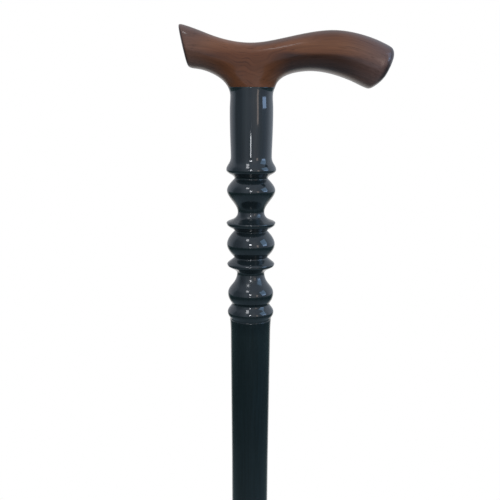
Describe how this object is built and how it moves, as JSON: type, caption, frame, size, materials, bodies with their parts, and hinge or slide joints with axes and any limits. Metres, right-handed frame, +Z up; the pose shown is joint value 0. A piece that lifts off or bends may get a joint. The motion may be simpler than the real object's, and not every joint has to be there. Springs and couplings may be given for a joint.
{
  "type": "walking cane",
  "caption": "Fixed-length wooden walking cane: walnut palm handle, black lacquered turned column, plain tapering shaft and a push-on rubber ferrule.",
  "frame": {"origin": "centre of the ferrule's foot, on the shaft's axis, where the cane rests on the floor", "axes": "+Z up the shaft to the handle, -X towards the handle's short nose, +X towards its long palm arm"},
  "size_m": [0.1231, 0.037, 0.8999],
  "materials": {
    "walnut": "clear gloss lacquer over brown walnut, grain along the handle",
    "black_lacquer": "black gloss lacquer on turned hardwood",
    "stud_steel": "zinc plated steel rod with ring grooves",
    "ferrule_rubber": "matt moulded rubber",
    "washer_steel": "plain stamped steel"
  },
  "bodies": {
    "cane": {"handle": "walnut", "handle_stud": "stud_steel", "turned_column": "black_lacquer", "shaft_stud": "stud_steel", "lower_shaft": "black_lacquer"},
    "ferrule": {"ferrule": "ferrule_rubber", "ferrule_washer": "washer_steel"}
  },
  "joints": [
    {"name": "ferrule_pull", "type": "slide", "parent": "cane", "child": "ferrule", "axis": [0, 0, -1], "range_m": [0, 0.045]}
  ]
}
